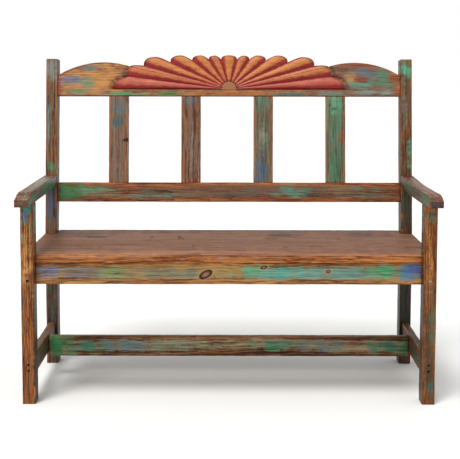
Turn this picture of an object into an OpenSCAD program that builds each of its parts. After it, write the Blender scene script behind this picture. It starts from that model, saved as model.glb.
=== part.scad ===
// A short pew or arm bench in pine: square legs and rails, four back slats and a fan carved in the crest rail.
// +X runs to the right as seen from the front, +Y to the back, and +Z up.
// The origin is on the floor, at the middle of the box that holds the whole bench.

/* [Overall] */
// Width over the legs
bench_w = 1216; // [1000:1:1500]
// Front face of the front legs to the front face of the rear posts
leg_reach = 404; // [360:1:460]
// Height of the top of the seat
seat_h = 440; // [410:1:470]
// Angle by which the back leans, from the seat up
rake = 6; // [3:0.5:8]

/* [Timber] */
// Width of each leg and post, seen from the front
leg_w = 38; // [34:1:46]
// Depth of each leg and post
leg_d = 48; // [42:1:56]
// Thickness of the seat boards
seat_t = 21; // [18:1:26]
// Thickness of the aprons and the side stretchers
board_t = 20; // [18:1:24]
// Height of the aprons under the seat
apron_h = 65; // [55:1:75]
// Height of the stretchers
stretcher_h = 64; // [50:1:70]
// Underside of the side stretchers
stretcher_z = 76; // [60:1:110]
// How much lower the long stretcher sits than the side stretchers
long_drop = 11; // [0:1:14]
// Front face of the long stretcher, behind the front face of the front legs
long_y = 270; // [200:1:300]
// Thickness of the long stretcher
long_t = 22; // [18:1:26]

/* [Arms] */
// Width of an arm
arm_w = 40; // [38:1:50]
// Thickness of an arm
arm_t = 36; // [30:1:42]
// Underside of the arms
arm_z = 595; // [560:1:620]
// How far an arm reaches ahead of its leg
arm_nose = 66; // [40:1:80]

/* [Back] */
// Height of a post along its leaning length, above the bend
post_rise = 569; // [540:1:600]
// Underside of the lower back rail above the bend, along the lean
rail_z = 94; // [70:1:130]
// Height of the lower back rail
rail_h = 64; // [50:1:80]
// Thickness of the lower back rail
rail_t = 36; // [32:1:38]
// Underside of the crest rail above the bend, along the lean
crest_z = 446; // [430:1:470]
// Thickness of the crest rail
crest_t = 38; // [34:1:38]
// Number of slats
slats = 4; // [4:1:4]
// Width of a slat
slat_w = 64; // [50:1:76]
// Thickness of a slat
slat_t = 32; // [26:1:34]
// Sideways shift of the row of slats
slat_shift = -6; // [-10:1:10]

/* [Carved fan] */
// Half the width of the fan
fan_a = 394; // [360:1:400]
// Height of the fan above its hub
fan_b = 113; // [100:1:116]
// Fullness of a petal's rise, 2 for an ellipse
petal_n = 2.5; // [2:0.1:3]
// Radius of the hub
hub_r = 27; // [20:1:34]
// Depth of the carved grooves
groove = 7; // [4:1:9]
// Height of the shoulders of the crest rail above its underside
shoulder_h = 112; // [100:1:120]
// Distance of each shoulder's top from the middle
shoulder_x = 417; // [400:1:430]
// Radius of a shoulder's curve
shoulder_r = 290; // [240:1:340]

/* [Fixings] */
// Shank diameter of the frame screws
screw_d = 4.5; // [4:0.1:5]
// Diameter of the sinking and its plug
plug_d = 7; // [6:0.5:10]
// Diameter of the seat nails
nail_d = 2.5; // [2:0.1:3]

/* [Hidden] */

bend_z = 450;                          // height at which the posts start to lean
half_w = bench_w / 2;
inner_x = half_w - leg_w;              // inner faces of the legs
mid_x = half_w - leg_w / 2;            // middle of a leg
lean_y = post_rise * sin(rake);
post_y = leg_reach;                    // front face of a post, from the front face of the front legs
// The middle of the whole footprint, from the front face of the front legs.
y_mid = (leg_reach + leg_d * cos(rake) + lean_y - arm_nose) / 2;
apron_z = seat_h - seat_t - apron_h;
seat_front = 20;                       // the seat's front edge, behind the legs' front faces
seat_back = post_y + leg_d + 20;
plank = (seat_back - seat_front) / 3;
fit = 0.3;                             // clearance of a board in a notch or between two boards
glue = 0.15;                           // glue line round a tenon
tenon_l = 12;
tenon_t = 12;
tenon_inset = 10;                      // from a rail's edges to its tenons' edges
crest_tenon = [crest_z + 8, crest_z + 58];
stretcher_tenon = [stretcher_z + 8, stretcher_z + 44];
reveal = 5;                            // how far the rails sit behind the posts' front faces
slat_reveal = 7;
apron_y = seat_front + 6;
rear_apron_y = post_y + 8;
long_z = stretcher_z - long_drop;
arm_x = mid_x + 2;
screw_head = 3;
sink = 8;                              // from the timber's face to the screw's head
screw_l = 74;
screw_bore = screw_d + 0.1;
head_d = plug_d - 0.6;
apron_screws = [apron_z + 15, apron_z + 55];
stretcher_screws = [stretcher_z + 24, stretcher_z + 42];
frame_screws = concat(apron_screws, stretcher_screws);
arm_mid = arm_z + arm_t / 2;
nose_x = [-10, -30, -48];              // where the left arm's nose steps down, from the legs' front faces
nose_drop = [0, 4, 8.5, 13];           // depth below the arm's top after each step
bevel_x = [-12, -44];                  // the right arm's nose is rubbed down to two bevels from here on
bevel_drop = [0, 6, 15];
arm_pin_y = leg_d - 10;
nail_l = 45;
nail_bore = nail_d + 0.1;
nail_row = [-500, -300, -100, 100, 300, 500];
nail_depths = [plank * 0.5, plank * 1.5, plank * 2.3];
slat_pitch = (2 * inner_x + slat_w) / (slats + 1);
hub_z = crest_z + 23;                  // height of the hub above the bend, along the lean
shoulder_end = 330;                    // where a shoulder's curve meets the fan
// The notches between the petals on one side, from the hub, and the crown of the petal after each notch,
// as shares of fan_a and fan_b. The first notch lies on the face; the rail's edge starts at the first crown.
notches = [[0.881, 0.398], [0.723, 0.699], [0.497, 0.788], [0.312, 0.858], [0.171, 0.889], [0.066, 0.887]];
crowns = [[0.786, 0.712], [0.617, 0.956], [0.405, 1], [0.233, 1], [0.116, 1], [0, 1]];
petal_fall = 1.5;                      // how late a petal falls from its crown to its inner notch
petal_steps = 10;
round_fn = 32;

PINE = "peru";
PAINT = "cadetblue";
SEAT = "rosybrown";
STEEL = "dimgray";

// Moves a piece from the working origin, at the front face of the legs, to the middle of the footprint.
module placed() {
    translate([0, -y_mid, 0]) children();
}

// Places a piece of the back in the leaning plane: y from the posts' front faces, z from the bend.
module leaning() {
    translate([0, post_y, bend_z]) rotate([-rake, 0, 0]) children();
}

module box(x0, x1, y0, y1, z0, z1) {
    translate([x0, y0, z0]) cube([x1 - x0, y1 - y0, z1 - z0]);
}

// A bore or shank along +Y.
module along_y(x, y, z, d, l) {
    translate([x, y, z]) rotate([-90, 0, 0]) cylinder(d = d, h = l, $fn = round_fn);
}

// A screw along +Y whose sinking starts at y; dir is -1 for one driven from the back.
module screw(x, y, z, dir) {
    along_y(x, dir > 0 ? y + sink : y - sink - screw_head, z, head_d, screw_head);
    along_y(x, dir > 0 ? y + sink : y - sink - screw_l, z, screw_d, screw_l);
}

// The hole for one screw: a sinking as deep as the head's seat, and the shank's bore.
module screw_hole(x, y, z, dir) {
    deep = sink + screw_head;
    along_y(x, dir > 0 ? y - 5 : y - deep, z, plug_d, deep + 5);
    along_y(x, dir > 0 ? y : y - sink - screw_l - 1, z, screw_bore, sink + screw_l + 1);
}

// Mirrors a piece made for the +X side when side is -1.
module on_side(side) {
    if (side > 0) children();
    else mirror([1, 0, 0]) children();
}

// The screws through one front leg, or their holes.
module front_holes() {
    for (z = frame_screws) screw_hole(mid_x, 0, z, 1);
}

// The holes through one rear post, driven from the back.
module rear_holes() {
    for (z = frame_screws) screw_hole(mid_x, post_y + leg_d, z, -1);
    screw_hole(mid_x, arm_screw_y(), arm_mid, -1);
}

// Where a post's leaning back face stands at the middle of the arm's height.
function arm_screw_y() = post_y + leg_d / cos(rake) + (arm_mid - bend_z) * tan(rake);

// The screw that holds an arm down on its leg, driven from above.
module arm_pin(d, head, extra) {
    top = arm_z + arm_t;
    translate([mid_x, arm_pin_y, top - sink + 2 - 70]) cylinder(d = d, h = 70, $fn = round_fn);
    translate([mid_x, arm_pin_y, top - sink - 1]) cylinder(d = head, h = screw_head + extra, $fn = round_fn);
}

module front_leg(side) {
    color(PINE) placed() on_side(side) difference() {
        box(inner_x, half_w, 0, leg_d, 0, arm_z);
        front_holes();
        arm_pin(screw_bore, plug_d, 9);
        apron_mortise(apron_y + board_t / 2);
    }
}

// A mortise in a leg or post for the end of a front or rear apron.
module apron_mortise(y) {
    box(inner_x - 1, inner_x + tenon_l, y - tenon_t / 2, y + tenon_t / 2, apron_z + tenon_inset, apron_z + apron_h - tenon_inset);
}

// Side view of a post: upright to the bend, then leaning.
module post_outline() {
    top = [lean_y, bend_z + post_rise * cos(rake)];
    back = [leg_d * cos(rake), -leg_d * sin(rake)];
    heel = bend_z - leg_d * tan(rake / 2);
    polygon([[0, 0], [leg_d, 0], [leg_d, heel], top + back, top, [0, bend_z]]);
}

module rear_post(side) {
    color(PAINT) placed() on_side(side) difference() {
        translate([inner_x, post_y, 0]) rotate([90, 0, 90]) linear_extrude(height = leg_w) post_outline();
        rear_holes();
        apron_mortise(rear_apron_y + board_t / 2);
        leaning() back_mortise(rail_z + tenon_inset, rail_z + rail_h - tenon_inset, reveal + rail_t / 2);
        leaning() back_mortise(crest_tenon[0], crest_tenon[1], reveal + crest_t / 2);
    }
}

// A mortise in a post for the end of one of the back's rails.
module back_mortise(z0, z1, y) {
    box(inner_x - 1, inner_x + tenon_l, y - tenon_t / 2, y + tenon_t / 2, z0, z1);
}

// A pair of tenons on the ends of a rail that runs between the legs.
module end_tenons(x, y, z0, z1) {
    t = tenon_t / 2 - glue;
    for (s = [-1, 1])
        box(s > 0 ? x - 1 : -x - tenon_l + glue, s > 0 ? x + tenon_l - glue : -x + 1, y - t, y + t, z0 + glue, z1 - glue);
}

module apron(y, boards) {
    difference() {
        union() {
            box(-inner_x, inner_x, y, y + board_t, apron_z, apron_z + apron_h);
            end_tenons(inner_x, y + board_t / 2, apron_z + tenon_inset, apron_z + apron_h - tenon_inset);
        }
        for (x = nail_row) nail_hole(x, y + board_t / 2);
    }
}

module front_apron() {
    color(PAINT) placed() apron(apron_y);
}

module rear_apron() {
    color(PINE) placed() apron(rear_apron_y);
}

module nail_hole(x, y) {
    translate([x, y, seat_h - nail_l - 1]) cylinder(d = nail_bore, h = nail_l + 6, $fn = round_fn);
}

module nail(x, y) {
    translate([x, y, seat_h - nail_l]) cylinder(d = nail_d, h = nail_l, $fn = round_fn);
}

// Every seat nail, or its hole: a row in each long apron and one in each board over the side aprons.
module seat_fixings(hole) {
    for (y = [apron_y, rear_apron_y], x = nail_row) {
        if (hole) nail_hole(x, y + board_t / 2);
        else nail(x, y + board_t / 2);
    }
    for (s = [-1, 1], y = nail_depths) {
        if (hole) nail_hole(s * mid_x, seat_front + y);
        else nail(s * mid_x, seat_front + y);
    }
}

module side_apron(side) {
    color(PINE) placed() on_side(side) difference() {
        box(mid_x - board_t / 2, mid_x + board_t / 2, leg_d, post_y, apron_z, apron_z + apron_h);
        front_holes();
        rear_holes();
        for (y = nail_depths) nail_hole(mid_x, seat_front + y);
    }
}

module side_stretcher(side) {
    t = tenon_t / 2;
    y = long_y + long_t / 2;
    face = mid_x - board_t / 2;
    color(PAINT) placed() on_side(side) difference() {
        box(face, mid_x + board_t / 2, leg_d, post_y, stretcher_z, stretcher_z + stretcher_h);
        front_holes();
        rear_holes();
        box(face - 1, face + tenon_l, y - t, y + t, stretcher_tenon[0], stretcher_tenon[1]);
    }
}

module long_stretcher() {
    face = mid_x - board_t / 2;
    color(PAINT) placed() {
        box(-face, face, long_y, long_y + long_t, long_z, long_z + stretcher_h);
        end_tenons(face, long_y + long_t / 2, stretcher_tenon[0], stretcher_tenon[1]);
    }
}

// One seat board from y0 to y1, cut back round whichever legs it meets.
module seat_board(y0, y1) {
    color(SEAT) placed() difference() {
        box(-half_w, half_w, y0, y1, seat_h - seat_t, seat_h);
        for (s = [-1, 1]) on_side(s) {
            box(inner_x - fit, half_w + 1, -1, leg_d + fit, 0, seat_h + 1);
            box(inner_x - fit, half_w + 1, post_y - fit, seat_back + 1, 0, seat_h + 1);
        }
        seat_fixings(true);
    }
}

module seat_board_front() {
    seat_board(seat_front, seat_front + plank - fit);
}

module seat_board_middle() {
    seat_board(seat_front + plank, seat_front + 2 * plank - fit);
}

module seat_board_rear() {
    seat_board(seat_front + 2 * plank, seat_back);
}

// Side view of an arm: three carved steps or two worn bevels at the nose, and a slanted end against the post.
module arm_outline(stepped) {
    low = leg_reach + (arm_z - bend_z) * tan(rake);
    high = low + arm_t * tan(rake);
    top = arm_z + arm_t;
    steps = [for (i = [0:2]) each [[nose_x[i], top - nose_drop[i]], [nose_x[i], top - nose_drop[i + 1]]]];
    bevels = [for (i = [0, 1]) [bevel_x[i], top - bevel_drop[i]]];
    polygon(concat(
        [[-arm_nose, arm_z], [low, arm_z], [high, top]],
        stepped ? steps : bevels,
        [[-arm_nose, top - (stepped ? nose_drop[3] : bevel_drop[2])]]
    ));
}

module arm(side) {
    color(PAINT) placed() on_side(side) difference() {
        translate([arm_x - arm_w / 2, 0, 0]) rotate([90, 0, 90]) linear_extrude(height = arm_w) arm_outline(side < 0);
        arm_pin(screw_bore, plug_d, 9);
        screw_hole(mid_x, arm_screw_y(), arm_mid, -1);
    }
}

module back_rail() {
    y = reveal + rail_t / 2;
    color(PAINT) placed() leaning() difference() {
        union() {
            box(-inner_x, inner_x, reveal, reveal + rail_t, rail_z, rail_z + rail_h);
            end_tenons(inner_x, y, rail_z + tenon_inset, rail_z + rail_h - tenon_inset);
        }
        for (i = [0:slats - 1]) slat_tenon(i, rail_z + rail_h - tenon_l, rail_z + rail_h + 1, 0);
    }
}

function slat_x(i) = slat_shift + (i - (slats - 1) / 2) * slat_pitch;

// The tenon of one slat, less a glue line, or its mortise with none.
module slat_tenon(i, z0, z1, less) {
    x = slat_x(i);
    w = slat_w / 2 - 12 - less;
    t = tenon_t / 2 - less;
    y = slat_reveal + slat_t / 2;
    box(x - w, x + w, y - t, y + t, z0, z1);
}

module back_slat(i) {
    x = slat_x(i);
    z0 = rail_z + rail_h;
    color(PINE) placed() leaning() {
        box(x - slat_w / 2, x + slat_w / 2, slat_reveal, slat_reveal + slat_t, z0, crest_z);
        slat_tenon(i, z0 - tenon_l + glue, z0 + 1, glue);
        slat_tenon(i, crest_z - 1, crest_z + tenon_l - glue, glue);
    }
}

// The point of the fan at shares p of its half width and height.
function fan_point(p) = [fan_a * p[0], hub_z + fan_b * p[1]];

// A petal's rim from its outer notch up to its crown: a quarter of a superellipse.
function petal_rise(i) = [
    for (k = [0:petal_steps])
        let (t = 90 * k / petal_steps, n = notches[i], c = crowns[i])
            fan_point([
                n[0] + (c[0] - n[0]) * (1 - pow(cos(t), 2 / petal_n)),
                n[1] + (c[1] - n[1]) * pow(sin(t), 2 / petal_n)
            ])
];

// The same petal's rim from its crown down to its inner notch, which starts the next petal.
function petal_drop(i) = [
    for (k = [1:petal_steps - 1])
        let (t = k / petal_steps, c = crowns[i], n = notches[i + 1])
            fan_point([c[0] + (n[0] - c[0]) * t, c[1] + (n[1] - c[1]) * pow(t, petal_fall)])
];

// Height of a shoulder of the crest rail at x.
function shoulder_top(x) = crest_z + shoulder_h
    + sqrt(pow(shoulder_r, 2) - pow(abs(x) - shoulder_x, 2)) - shoulder_r;

// Front view of the crest rail.
module crest_outline() {
    right = [for (k = [0:12]) let (x = inner_x + (shoulder_end - inner_x) * k / 12) [x, shoulder_top(x)]];
    left = [for (k = [12:-1:0]) [-right[k][0], right[k][1]]];
    last = len(notches) - 1;
    rises = [for (i = [1:last]) each concat(petal_rise(i), i < last ? petal_drop(i) : [])];
    half = concat([fan_point(crowns[0])], petal_drop(0), rises);
    other = [for (k = [len(half) - 2:-1:0]) [-half[k][0], half[k][1]]];
    polygon(concat([[-inner_x, crest_z], [inner_x, crest_z]], right, half, other, left));
}

// One carved valley on one side: a V groove from the hub out to notch i.
module valley(i) {
    n = [fan_a * notches[i][0], fan_b * notches[i][1]];
    translate([0, reveal, hub_z]) rotate([0, -atan2(n[1], n[0]), 0])
        translate([hub_r, 0, 0]) rotate([0, 90, 0])
            linear_extrude(height = norm(n) - hub_r) polygon([[-5, -1], [5, -1], [0, groove]]);
}

module crest_rail() {
    color(PINE) placed() leaning() difference() {
        union() {
            translate([0, reveal + crest_t, 0]) rotate([90, 0, 0])
                linear_extrude(height = crest_t) crest_outline();
            end_tenons(inner_x, reveal + crest_t / 2, crest_tenon[0], crest_tenon[1]);
        }
        for (i = [0:len(notches) - 1], flip = [0, 1]) mirror([flip, 0, 0]) valley(i);
        for (i = [0:slats - 1]) slat_tenon(i, crest_z - 1, crest_z + tenon_l, 0);
    }
}

module front_leg_screws() {
    color(STEEL) placed() for (s = [-1, 1]) on_side(s)
        for (z = frame_screws) screw(mid_x, 0, z, 1);
}

module rear_post_screws() {
    color(STEEL) placed() for (s = [-1, 1]) on_side(s)
        for (z = frame_screws) screw(mid_x, post_y + leg_d, z, -1);
}

module arm_screws() {
    color(STEEL) placed() for (s = [-1, 1]) on_side(s) {
        arm_pin(screw_d, head_d, 0);
        screw(mid_x, arm_screw_y(), arm_mid, -1);
    }
}

module seat_nails() {
    color(STEEL) placed() seat_fixings(false);
}

// Plugs over three of the apron screws: both on one leg, the upper one on the other.
module wood_plugs() {
    color(SEAT) placed() {
        for (s = [-1, 1]) along_y(s * mid_x, 0.5, apron_screws[1], plug_d - 0.1, sink - 0.6);
        along_y(mid_x, 0.5, apron_screws[0], plug_d - 0.1, sink - 0.6);
    }
}

front_leg(-1);  // front_leg_left
front_leg(1);  // front_leg_right
rear_post(-1);  // rear_post_left
rear_post(1);  // rear_post_right
front_apron();
rear_apron();
side_apron(-1);  // side_apron_left
side_apron(1);  // side_apron_right
side_stretcher(-1);  // side_stretcher_left
side_stretcher(1);  // side_stretcher_right
long_stretcher();
seat_board_front();
seat_board_middle();
seat_board_rear();
arm(-1);  // arm_left
arm(1);  // arm_right
back_rail();
back_slat(0);  // back_slat_1
back_slat(1);  // back_slat_2
back_slat(2);  // back_slat_3
back_slat(3);  // back_slat_4
crest_rail();
front_leg_screws();
rear_post_screws();
arm_screws();
seat_nails();
wood_plugs();
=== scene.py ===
"""Looks for a short arm bench in distressed, painted pine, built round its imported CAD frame.

Every timber is a rounded, slightly worn beam, the crest rail is a carved relief, and the finishes are
old paint over pine, made with nodes. Lengths are metres, in the frame's own axes.
"""

import math

import bpy
import numpy as np
from mathutils import Matrix, Vector


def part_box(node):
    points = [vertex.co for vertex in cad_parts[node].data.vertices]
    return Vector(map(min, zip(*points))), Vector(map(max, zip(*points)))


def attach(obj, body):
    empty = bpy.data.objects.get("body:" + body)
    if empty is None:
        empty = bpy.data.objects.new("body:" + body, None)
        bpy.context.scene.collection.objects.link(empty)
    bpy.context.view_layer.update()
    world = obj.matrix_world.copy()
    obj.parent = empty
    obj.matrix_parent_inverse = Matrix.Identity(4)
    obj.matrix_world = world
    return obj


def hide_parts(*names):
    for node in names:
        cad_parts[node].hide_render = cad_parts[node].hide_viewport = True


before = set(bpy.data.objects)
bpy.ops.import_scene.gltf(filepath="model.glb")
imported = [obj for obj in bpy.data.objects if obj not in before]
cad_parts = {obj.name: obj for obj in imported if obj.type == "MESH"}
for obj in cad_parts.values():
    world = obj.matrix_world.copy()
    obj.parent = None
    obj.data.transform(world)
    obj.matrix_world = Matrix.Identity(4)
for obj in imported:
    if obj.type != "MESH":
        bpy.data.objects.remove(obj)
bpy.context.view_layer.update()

bl_info = {
    "name": "Arm bench looks",
    "version": (1, 0, 0),
    "blender": (4, 5, 0),
    "location": "3D View > Sidebar > Bench",
    "description": "Worn, painted timbers and a carved crest rail round the bench's frame",
    "category": "Object",
}

RAKE = math.radians(6)          # lean of the back
BEND = 0.450                    # height at which the posts start to lean
HUB_Z = 0.469                   # height of the fan's hub above the bend, along the lean
CREST_Z = 0.446                 # underside of the crest rail above the bend, along the lean
FAN_A = 0.394                   # reach of the lowest petals along the base line
HUB_R = 0.0265                  # radius of the hub
# From the hub, for the right half: the notches between petals, and each petal's highest point.
NOTCHES = ((0.347, 0.045), (0.285, 0.079), (0.196, 0.089), (0.123, 0.097), (0.0675, 0.1005), (0.026, 0.1002))
PEAKS = ((0.394, 0.0), (0.3095, 0.0805), (0.243, 0.108), (0.1594, 0.113), (0.0919, 0.113), (0.0455, 0.1125),
         (0.0, 0.1134))
ROSE = (0.9, 0.30, 0.15, 0.1, 0.15, 0.3, 0.0, 0.35, 0.15, 0.1, 0.15, 0.45, 0.8)    # each petal's rose, 0 to 1
SHOULDER_X, SHOULDER_R, SHOULDER_H = 0.417, 0.290, 0.112    # a shoulder's arc: middle, radius and top
SHOULDER_END = 0.330            # where a shoulder's curve meets the fan
REVEAL, SLAT_REVEAL = 0.005, 0.007      # how far the rails and the slats stand back from the posts' faces
CREST_T, RAIL_T, SLAT_T = 0.038, 0.036, 0.032               # thicknesses in the leaning back
RAIL_LOW, RAIL_HIGH = 0.094, 0.158      # the back rail's edges above the bend, along the lean
SINK_R, SINK_DEPTH = 0.0035, 0.0085     # sinkings over the screws' heads
FRAME_SCREWS = (0.100, 0.118, 0.369, 0.409)                 # heights of the screws through the legs
# From an arm's front end: how far back, and how far below the arm's top.
STEPPED_NOSE = ((0, 0.013), (0.0165, 0.013), (0.018, 0.0085), (0.0345, 0.0085), (0.036, 0.004),
                (0.0545, 0.004), (0.056, 0.0))
WORN_NOSE = ((0, 0.0155), (0.008, 0.0135), (0.022, 0.0062), (0.040, 0.0025), (0.056, 0.0))
DISH = 0.006                    # the worn arm's dip at mid-length
HOLE_SHADE = ("#120B07", 1.6)         # painted shade inside a sinking: a near black, as colour and cover
# What the finishes read at each point: place in the timber, wear from 0 to 1, and paint with its cover, some
# of it painted shade.
LAYERS = (("grain", "FLOAT_VECTOR", "vector", 3), ("wear", "FLOAT", "value", 1),
          ("paint", "FLOAT_COLOR", "color", 4))


# Numbers and colours


def linear(code, alpha=1.0):
    """An sRGB hex colour as linear red, green, blue and alpha."""
    parts = [int(code[i:i + 2], 16) / 255 for i in (1, 3, 5)]
    return tuple(c / 12.92 if c <= 0.04045 else ((c + 0.055) / 1.055) ** 2.4 for c in parts) + (alpha,)


def smooth_noise(points, size, seed):
    """Smooth noise between about -1 and 1: a sum of sine waves in seeded directions, near the given size."""
    rng = np.random.default_rng(seed)
    total = np.zeros(points.shape[:-1])
    for _ in range(7):
        way = rng.normal(size=3)
        way *= 2 * math.pi / size * rng.uniform(0.6, 1.6) / np.linalg.norm(way)
        total += np.sin(points @ way + rng.uniform(0, 2 * math.pi))
    return total / 3.2


def step(value, low, high):
    """0 below low, 1 above high, and a smooth ramp between."""
    t = np.clip((value - low) / (high - low), 0, 1)
    return t * t * (3 - 2 * t)


# Meshes


def make_object(name, points, faces, grain, wear, paint):
    """A smooth-shaded object with the three layers that the finishes read."""
    mesh = bpy.data.meshes.new(name)
    mesh.from_pydata(points.tolist(), [], faces)
    for (label, kind, key, _), values in zip(LAYERS, (grain, wear, paint)):
        layer = mesh.attributes.new(label, kind, "POINT")
        layer.data.foreach_set(key, np.ascontiguousarray(values, dtype=np.float32).ravel())
    mesh.shade_smooth()
    mesh.validate()
    obj = bpy.data.objects.new(name, mesh)
    bpy.context.scene.collection.objects.link(obj)
    return obj


def read(items, key, width):
    """One property of every item, as an array with so many numbers to a row."""
    values = np.empty(len(items) * width, np.float32)
    items.foreach_get(key, values)
    return values.reshape(-1, width)


def grid_faces(rows, columns):
    """Quads between consecutive rows of a grid whose columns close round; row 0 comes first."""
    i, j = np.meshgrid(np.arange(rows - 1), np.arange(columns), indexing="ij")
    k = (j + 1) % columns
    quads = np.stack([i * columns + j, i * columns + k, (i + 1) * columns + k, (i + 1) * columns + j], -1)
    return quads.reshape(-1, 4).tolist()


def close_ends(faces, rows, columns, total):
    """Triangles from the first and last rows to the two centre points that follow the grid."""
    for j in range(columns):
        k = (j + 1) % columns
        faces.append((total, k, j))
        faces.append(((rows - 1) * columns + j, (rows - 1) * columns + k, total + 1))


def coat(points, base, patches):
    """Old paint at each point: a base colour and cover, and soft ellipsoid patches of other colours over it.

    base is (hex, cover). A patch is (centre, radii, hex, cover), in metres, and its weight falls off with the
    square of the distance in radii, broken up by noise. A few patches hold painted shade rather than paint.
    """
    colour = np.empty(points.shape[:-1] + (4,))
    colour[...] = linear(base[0], base[1])
    ragged = 0.35 * smooth_noise(points * (1, 1, 3), 0.06, 11) + 0.2 * smooth_noise(points, 0.02, 12)
    for centre, radii, code, cover in patches:
        far = np.sqrt((((points - centre) / radii) ** 2).sum(-1)) + ragged
        weight = (1 - step(far, 0.25, 1.35))[..., None]
        colour = colour * (1 - weight) + np.array(linear(code, cover)) * weight
    return colour


def section(columns_u, columns_v, corner):
    """The plan of a rounded rectangle: each point's corner, arc angle and share of the way to the next."""
    points = []
    for c, count in enumerate((columns_v, columns_u, columns_v, columns_u)):
        points += [(c, math.pi / 2 * (c + a / corner), 0.0) for a in range(corner + 1)]
        points += [(c, math.pi / 2 * (c + 1), f / count) for f in range(1, count)]
    return points


def beam(name, looks, base, patches, line, u, v, low_u, high_u, low_v, high_v, seed,
         spacing=0.006, ends=0.0018, sharp=(1, 1, 1, 1), worn=(True, True)):
    """One timber: a rounded rectangle swept along a line of stations.

    line is the stations' (n, 3) points; u and v are the section's axes; low_u to high_v are its edges at each
    station. The radius of each arris wanders along the timber and opens into chips, the faces undulate a
    little, and both ends close over a small round. Rows of extra stations fill the gaps between those given.
    """
    line, v = np.array(line, float), np.broadcast_to(np.array(v, float), (len(line), 3))
    u = np.array(u, float)
    edges = np.broadcast_arrays(low_u, high_u, low_v, high_v, np.zeros(len(line)))
    edges = np.stack(edges, 1)[:, :4].astype(float)
    way = np.r_[0, np.cumsum(np.linalg.norm(np.diff(line, axis=0), axis=1))]
    stops = [way[0] + ends * k for k in (0.0, 0.29, 1.0)]
    for a, b in zip(way[:-1], way[1:]):
        first, last = (a + ends if a == way[0] else a), (b - ends if b == way[-1] else b)
        stops += list(np.linspace(first, last, max(2, int((last - first) / spacing) + 1))[1:])
    stops += [way[-1] - ends * k for k in (0.29, 0.0)]
    stops = np.array(stops)
    line = np.stack([np.interp(stops, way, line[:, k]) for k in range(3)], 1)
    v = np.stack([np.interp(stops, way, v[:, k]) for k in range(3)], 1)
    edges = np.stack([np.interp(stops, way, edges[:, k]) for k in range(4)], 1)
    near = np.minimum(stops - stops[0], stops[-1] - stops)
    inset = ends - np.sqrt(np.clip(ends**2 - np.clip(ends - near, 0, None) ** 2, 0, None))

    wide = np.median(edges[:, 1] - edges[:, 0])
    deep = np.median(edges[:, 3] - edges[:, 2])
    corner = 4
    plan = section(max(3, int(wide / spacing)), max(3, int(deep / spacing)), corner)
    at = np.arange(4)[None, :] * 7.0
    walk = np.stack(np.broadcast_arrays(stops[:, None], at, seed * 1.7), -1)
    slow, quick = smooth_noise(walk, 0.09, seed), smooth_noise(walk, 0.03, seed + 1)
    radius = looks.arris * (1 + 0.35 * slow + 0.25 * quick)
    chip = step(smooth_noise(walk, 0.05, seed + 2), 0.75, 1.3)
    chip = chip * step(smooth_noise(walk, 0.30, seed + 3), -0.1, 0.5)
    radius = (radius + looks.chips * chip) * sharp
    radius = np.minimum(radius, 0.35 * min(wide, deep))

    sign_u, sign_v = (1, -1, -1, 1), (1, 1, -1, -1)
    edge_u, edge_v = (1, 0, 0, 1), (3, 3, 2, 2)

    def corner_point(c, angle):
        cu = edges[:, edge_u[c]] - sign_u[c] * (radius[:, c] + inset)
        cv = edges[:, edge_v[c]] - sign_v[c] * (radius[:, c] + inset)
        return np.stack([cu + radius[:, c] * math.cos(angle), cv + radius[:, c] * math.sin(angle)], 1)

    flat = np.empty((len(stops), len(plan), 2))
    out = np.empty((len(stops), len(plan), 2))
    for k, (c, angle, share) in enumerate(plan):
        flat[:, k] = corner_point(c, angle)
        if share:
            flat[:, k] += share * (corner_point((c + 1) % 4, angle) - flat[:, k])
        out[:, k] = (math.cos(angle), math.sin(angle))
    place = np.concatenate([np.broadcast_to(stops[:, None, None], flat.shape[:2] + (1,)), flat], -1)
    wave = 0.6 * smooth_noise(place + seed, 0.13, seed + 4) + 0.4 * smooth_noise(place + seed, 0.03, seed + 5)
    flat = flat + out * (looks.unevenness * wave * step(near, 0, 0.01)[:, None])[..., None]

    from_u = np.minimum(flat[..., 0] - edges[:, None, 0] + (not worn[0]),
                        edges[:, None, 1] - flat[..., 0] + (not worn[1]))
    from_v = np.minimum(flat[..., 1] - edges[:, None, 2], edges[:, None, 3] - flat[..., 1])
    second = np.sort(np.stack([from_u, from_v, np.broadcast_to(near[:, None], from_u.shape)], -1), -1)[..., 1]
    wear = np.exp(-np.clip(second, 0, None) / 0.0035)
    wear = np.clip(wear + 0.6 * chip.max(1)[:, None] * np.exp(-second / 0.008), 0, 1)

    points = line[:, None] + flat[..., :1] * u + flat[..., 1:] * v[:, None]
    rows, columns = points.shape[:2]
    middle = line + (edges[:, :2].mean(1)[:, None] * u) + edges[:, 2:].mean(1)[:, None] * v
    caps = [(0, 0.35), (0, 0.7), (rows - 1, 0.7), (rows - 1, 0.35)]
    grain = np.concatenate([place[..., :1], flat], -1)

    def shrink(values, centre, row, share):
        return centre + share * (values[row] - centre)

    stack_p = [shrink(points, middle[r], r, s) for r, s in caps]
    mid_g = [np.r_[stops[r], edges[r, :2].mean(), edges[r, 2:].mean()] for r in (0, rows - 1)]
    stack_g = [shrink(grain, mid_g[0 if r == 0 else 1], r, s) for r, s in caps]
    points = np.concatenate([np.stack(stack_p[:2]), points, np.stack(stack_p[2:])])
    grain = np.concatenate([np.stack(stack_g[:2]), grain, np.stack(stack_g[2:])])
    calm = np.zeros((2, columns))
    wear = np.concatenate([calm, wear, calm])
    rows += 4
    faces = grid_faces(rows, columns)
    close_ends(faces, rows, columns, rows * columns)
    points = np.concatenate([points.reshape(-1, 3), [middle[0], middle[-1]]])
    grain = np.concatenate([grain.reshape(-1, 3), mid_g]) + (seed * 0.731, seed * 0.417, seed * 0.293)
    wear = np.r_[wear.ravel(), 0, 0]
    if np.linalg.det(np.stack([line[-1] - line[0], u, v[0]])) < 0:
        faces = [tuple(reversed(f)) for f in faces]
    return make_object(name, points, faces, grain, wear, coat(points, base, patches))


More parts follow.
